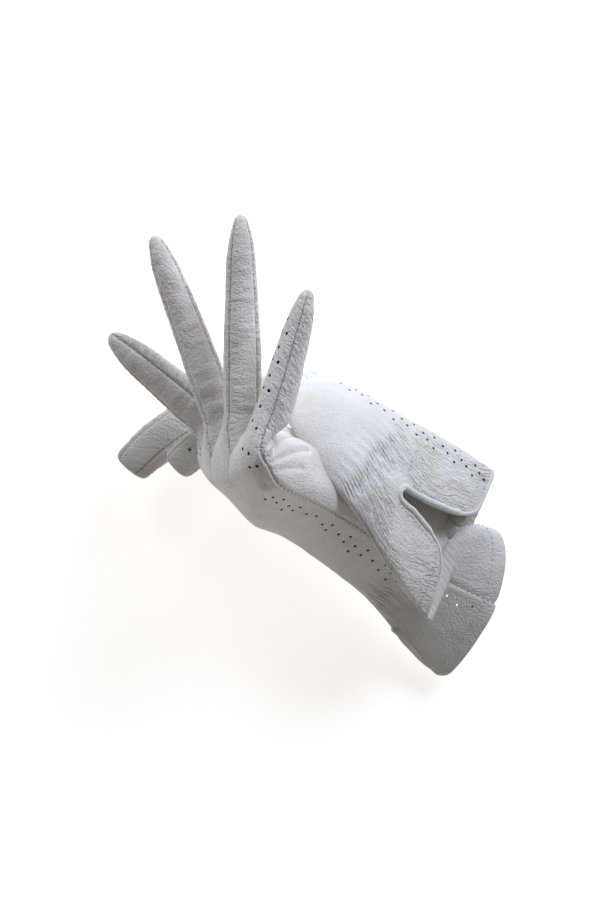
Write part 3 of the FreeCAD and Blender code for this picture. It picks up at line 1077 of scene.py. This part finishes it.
def build_back(side, halves, tip_row, centres, strips):
    shell = Shell()
    made = []
    edges = []
    for half, panel in enumerate(halves):
        p, x, y, width = panel["p"], panel["x"], panel["y"], panel["width"]
        n = panel_normals(p, next_row(strips, (NAMES[:2], NAMES[2:])[half], "back"), centres)
        holes = []
        if half == 1 and side == "right":
            holes = perforations(x, y, 8.0, 118.0, 5.4)
        if half == 0 and side == "left":
            holes = perforations(x, width - y, 7.0, 84.0, 5.6)
        look = hand_texture(side, "back", x, y, width)
        outer, inner = panel_shell(shell, p, n, hollow_shade(p, n, 0.9), holes, rims="u", look=look)
        shell.match_row(outer[-1], n[-1])
        made.append((outer, inner))
        edges.append((p, n))
    # one piece beyond the vent's tip, and closed along the vent's edges
    weld = {}
    for first, second in zip(*made):
        weld.update({int(b): int(a) for a, b in zip(first[tip_row:, -1], second[tip_row:, 0])})
    for (outer, inner), column, flip in zip(made, (-1, 0), (False, True)):
        shell.strip(outer[:tip_row + 1, column], inner[:tip_row + 1, column], 0, flip)
    shell.faces = [tuple(weld.get(i, i) for i in face) for face in shell.faces]
    on_hand(shell.build(f"{side}_back", [BACK_LEATHER, SUEDE]), side, "back_panel")
    return edges


def build_palm(side, palm, centres, strips):
    shell = Shell()
    p = palm["p"]
    n = panel_normals(p, next_row(strips, NAMES[::-1], "palm"), centres)
    look = hand_texture(side, "palm", palm["x"], palm["y"], palm["width"])
    outer, _ = panel_shell(shell, p, n, hollow_shade(p, n), rims="u", look=look)
    shell.match_row(outer[-1], n[-1])
    on_hand(shell.build(f"{side}_palm", [PALM_LEATHER, SUEDE]), side, "palm_panel")
    return n


def build_binding(side, edges, tip_row):
    """Rolled leather along the cuff edge of both flaps and round the vent."""
    (pa, na), (pb, nb) = edges
    path, normal = [np.concatenate([a[0, :], a[1:tip_row + 1, -1], b[tip_row - 1:0:-1, 0], b[0, :]])
                    for a, b in ((pa, pb), (na, nb))]
    middle = resample(path - normal * LEATHER * 0.5, 0.7)
    for _ in range(2):
        middle[1:-1] = (middle[:-2] + 2 * middle[1:-1] + middle[2:]) / 4
    run = run_along(middle)
    first = run_along(pa[0])[-1]
    last = run[-1] - run_along(pb[0])[-1]
    on_vent = smooth((run - first + 3) / 4.0) * smooth((last + 3 - run) / 4.0)
    radius = 0.85 + 0.5 * on_vent + 0.08 * noise(middle / 3.0, SIDES[side]["seed"] + 70)
    binding = make_mesh(f"{side}_binding", *tube_mesh(middle, radius, 12))
    binding.data.materials.append(BINDING)
    on_hand(binding, side, "vent_binding")


def build_hand_threads(side, edges, tip_row, palm, n):
    """Stitches beside the binding, along the palm's cuff edge and in the side seam."""
    (pa, na), (pb, nb) = edges
    inset = 5
    first, first_n = [np.concatenate([g[inset, :-inset], g[inset:tip_row - 2, -inset]]) for g in (pa, na)]
    second, second_n = [np.concatenate([g[tip_row - 2:inset:-1, inset], g[inset, inset:]]) for g in (pb, nb)]
    parts = []
    for path, normals in ((first, first_n), (second, second_n), (palm[6], n[6])):
        parts += stitches(path, normals, pitch=2.2)
    on_hand(thread_piece(f"{side}_hem_stitches", parts, HEM_THREAD), side)

    parts = stitches(pb[:, -1], nb[:, -1], lift=0.25, radius=0.2)
    thread = thread_piece(f"{side}_side_seam", parts, THREAD if side == "right" else HEM_THREAD)
    on_hand(thread, side, "side_seam_thread")


def build_hems(side, edges, halves, palm, n):
    """Tapes inside the cuff, gathered on the palm and flat on the back."""
    count = int(np.sum(palm["x"][:, 30] < 9.0))
    x, y, n = palm["x"][:count], palm["y"][:count], n[:count]
    gather = 0.22 * np.sin(2 * np.pi * y / 2.6 + 2.0 * stretched(x, y, 5.0, 3.0, 5))
    inside = palm["p"][:count] - n * (LEATHER + 0.15) - n * (0.25 + gather)[..., None]
    shell = Shell()
    # 0.02 is a faint painted shade over the tape
    panel_shell(shell, inside[:, 4:-4], n[:, 4:-4], 0.02, thickness=TAPE_THICKNESS)
    on_hand(shell.build(f"{side}_palm_hem", [PALM_LEATHER, TAPE]), side, "palm_hem_tape")

    shell = Shell()
    for (p, n), panel, use in zip(edges, halves, (slice(4, -6), slice(6, -4))):
        run = panel["x"][:, 10]
        count = int(np.sum(run - run[0] < 8.0))
        inside = p[:count, use] - n[:count, use] * (LEATHER + 0.2)
        # 0.02 is a faint painted shade over the tape
        panel_shell(shell, inside, n[:count, use], 0.02, thickness=TAPE_THICKNESS)
    on_hand(shell.build(f"{side}_back_hem", [PALM_LEATHER, TAPE]), side, "back_hem_tape")


def build_elastic(side, edges, halves):
    p, n, x = [np.concatenate([a, b[:, 1:]], axis=1)
               for a, b in (*zip(*edges), (halves[0]["x"], halves[1]["x"]))]
    rows = (x[:, 60] > 39) & (x[:, 60] < 47)
    n = n[rows][:, 20:-16]
    shell = Shell()
    panel_shell(shell, p[rows][:, 20:-16] - n * (LEATHER + 0.3), n, thickness=TAPE_THICKNESS)
    on_hand(shell.build(f"{side}_elastic", [ELASTIC, ELASTIC]), side, "wrist_elastic")


def heading(degrees):
    way = math.radians(degrees)
    return np.array([math.cos(way), math.sin(way), 0.0])


def bends(piece, side, name, node=None):
    """Bakes a piece's placement into its mesh and, given a node, hides the CAD part it stands in for."""
    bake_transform(piece)
    if node:
        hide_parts(f"{side}_{name}_{node}")


def build_strip(side, name, kind, strip):
    """One panel of a finger, and its normals."""
    p = strip["p"]
    n = strip["n"]
    joined = strip["previous"] is not None
    if joined:
        n = grid_normals(np.vstack([strip["previous"][None], p]))[1:]
        n = n * np.sign(np.sum(n * strip["n"]))
    holes = []
    if name == "little" and kind == "back":
        holes = perforations(strip["x"], strip["width"] - strip["y"], 4.0, strip["q"][-1] - 10, 3.6)
    shell = Shell()
    look = finger_texture(kind, name, side, strip["x"], strip["y"], strip["width"])
    outer, _ = panel_shell(shell, p, n, hollow_shade(p, n), holes, "lr" if joined else "ulr", 0.5, look)
    if joined:
        shell.match_row(outer[0], n[0])
    material = {"back": BACK_LEATHER, "palm": PALM_LEATHER}.get(kind, SIDE_LEATHER)
    return shell.build(f"{side}_{name}_{kind}_leather", [material, SUEDE]), n


def build_fingers(side, strips):
    for name in NAMES:
        parts = []
        for kind in ("back", "palm", "ulnar_fourchette", "radial_fourchette"):
            if (name, kind) not in strips:
                continue
            strip = strips[name, kind]
            piece, n = build_strip(side, name, kind, strip)
            bends(piece, side, name, kind)
            if kind == "back" or (kind == "palm" and name != "little"):
                rows = strip["q"] > (0 if name == "little" else CROTCH + 1.0)
                rows &= strip["q"] < strip["q"][-1] - 1.5
                edge = 0 if kind == "palm" else -1
                parts += stitches(strip["p"][rows, edge], n[rows, edge], lift=0.22, radius=0.19)
        bends(thread_piece(f"{side}_{name}_stitches", parts, THREAD), side, name)


def build_thumb(side):
    data = SIDES[side]
    thumb = THUMBS[side]
    q = tapered_rows(THUMB_LEAD + thumb[3], 80, 14)
    climb = {"right": 7.0, "left": 13.0}[side] * (1 - smooth(q / (THUMB_LEAD + 6))) ** 1.3
    middle, _ = finger_line(thumb, q, THUMB_LEAD)
    middle[:, 2] += climb
    leathers = {"palm": (0, 180, PALM_LEATHER), "back": (180, 360, BACK_LEATHER)}
    for kind, (first, last, material) in leathers.items():
        qq, a = np.meshgrid(q, np.linspace(first, last, 44), indexing="ij")
        grid = finger_point(thumb, qq, a, data["turn"], POINTED, THUMB_LEAD)
        grid[..., 2] += climb[:, None]
        n = grid_normals(grid)
        n = n * facing_out(grid, n, middle[:, None])
        across = lengths(grid, 1)
        width = np.maximum(across[:, -1:], 0.01)
        d = soft_relief(grid, data["seed"] + 90, 0.2, 0.1)
        d = d + 0.16 * stretched(qq, across, 2.4, 7.0, data["seed"] + 91)
        seam = np.minimum(across, width - across)
        fade = smooth((q[-1] - q) / 3.0)[:, None]
        small = np.minimum(1.0, tip_size(q[-1] - q, POINTED) * 1.3)[:, None]
        p = grid + n * (d * smooth(seam / 2.0) * fade)[..., None]
        p = p + unit(middle[:, None] - grid) * (roll(seam) * small)[..., None]
        shell = Shell()
        panel_shell(shell, p, n, hollow_shade(p, n), rims="ulr", thickness=0.4)
        piece = shell.build(f"{side}_thumb_{kind}_leather", [material, SUEDE])
        bends(piece, side, "thumb", kind)
        if kind == "palm":
            parts = stitches(p[:-8, 0], n[:-8, 0], lift=0.2) + stitches(p[:-8, -1], n[:-8, -1], lift=0.2)
            thread = thread_piece(f"{side}_thumb_stitches", parts, THREAD)
            bends(thread, side, "thumb")


# ---------------------------------------------------------------- stage

def stage():
    mesh = bpy.data.meshes.new("floor")
    size = 3.0
    corners = [(-size, -size, 0), (size, -size, 0), (size, size, 0), (-size, size, 0)]
    mesh.from_pydata(corners, [], [(0, 1, 2, 3)])
    floor = bpy.data.objects.new("floor", mesh)
    bpy.context.scene.collection.objects.link(floor)
    mat = bpy.data.materials.new("floor_paper")
    mat.use_nodes = True
    shader = mat.node_tree.nodes["Principled BSDF"]
    shader.inputs["Base Color"].default_value = (0.9, 0.885, 0.865, 1)
    shader.inputs["Roughness"].default_value = 0.9
    shader.inputs["Specular IOR Level"].default_value = 0.0
    shader.inputs["Emission Color"].default_value = (1.0, 0.975, 0.95, 1)
    shader.inputs["Emission Strength"].default_value = 0.7
    floor.data.materials.append(mat)

    world = bpy.data.worlds.new("studio")
    world.use_nodes = True
    world.node_tree.nodes["Background"].inputs["Color"].default_value = (1.0, 0.94, 0.86, 1)
    world.node_tree.nodes["Background"].inputs["Strength"].default_value = 0.18
    bpy.context.scene.world = world

    def area(name, place, target, size, energy, color):
        light = bpy.data.lights.new(name, "AREA")
        light.shape = "SQUARE"
        light.size = size
        light.energy = energy
        light.color = color
        obj = bpy.data.objects.new(name, light)
        obj.location = place
        obj.rotation_euler = (Vector(target) - Vector(place)).to_track_quat("-Z", "Y").to_euler()
        bpy.context.scene.collection.objects.link(obj)

    area("key", (0.70, 0.92, 0.62), (0, 0, 0.03), 0.5, 9.4, (0.84, 0.94, 1.12))
    area("fill", (-0.45, 1.0, 0.5), (0, 0, 0.03), 0.6, 4.8, (0.86, 0.945, 1.08))

    camera = bpy.data.cameras.new("camera")
    camera.sensor_width = 36.0
    camera.lens = 49.0
    camera.clip_start = 0.01
    obj = bpy.data.objects.new("camera", camera)
    obj.location = (-ORIGIN[0] * 0.001, -ORIGIN[1] * 0.001, 0.5 - ORIGIN[2] * 0.001)
    obj.rotation_euler = (0, 0, 0)
    bpy.context.scene.collection.objects.link(obj)
    bpy.context.scene.camera = obj
    bpy.context.scene.view_settings.view_transform = "Standard"


stage()
for glove_side in ("right", "left"):
    make_glove(glove_side)
